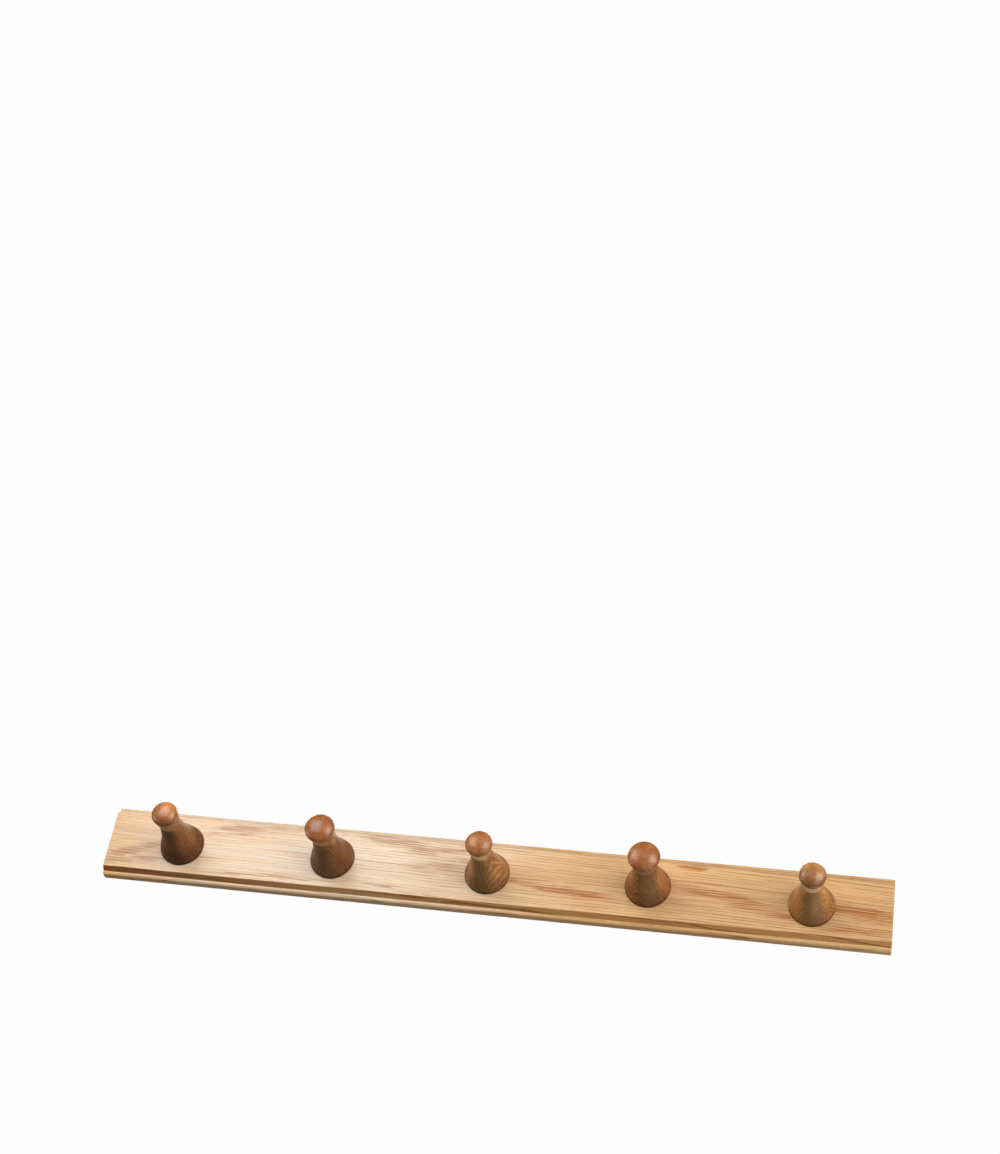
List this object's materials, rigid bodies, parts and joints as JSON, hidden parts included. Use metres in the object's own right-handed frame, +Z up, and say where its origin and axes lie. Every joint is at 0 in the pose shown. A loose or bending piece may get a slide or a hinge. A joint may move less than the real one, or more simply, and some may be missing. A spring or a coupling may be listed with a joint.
{
  "type": "wall hook rack",
  "caption": "Wall coat rack: oak board with moulded long edges, turned dark wood pegs with domed heads, keyhole hangers behind.",
  "frame": {"origin": "centre of the board's back face, on the wall plane, where the rack is held", "axes": "+X along the board to the right as seen from the front, +Z up the wall, pegs point to -Y and the back face looks to +Y"},
  "size_m": [0.75, 0.0873, 0.0716],
  "materials": {
    "oak_board": "light natural oak, open straight and cathedral grain along the board, thin satin lacquer",
    "peg_wood": "dark oiled turned hardwood, fine grain along the peg's axis, semi-gloss on the heads",
    "screw_zinc": "zinc-plated steel",
    "plate_steel": "plain zinc-plated pressed steel"
  },
  "bodies": {
    "root": {"backboard": "oak_board", "peg_1": "peg_wood", "peg_screw_1": "screw_zinc", "peg_2": "peg_wood", "peg_screw_2": "screw_zinc", "peg_3": "peg_wood", "peg_screw_3": "screw_zinc", "peg_4": "peg_wood", "peg_screw_4": "screw_zinc", "peg_5": "peg_wood", "peg_screw_5": "screw_zinc", "keyhole_plate_left": "plate_steel", "plate_screw_left_lower": "screw_zinc", "plate_screw_left_upper": "screw_zinc", "keyhole_plate_right": "plate_steel", "plate_screw_right_lower": "screw_zinc", "plate_screw_right_upper": "screw_zinc"}
  },
  "joints": []
}
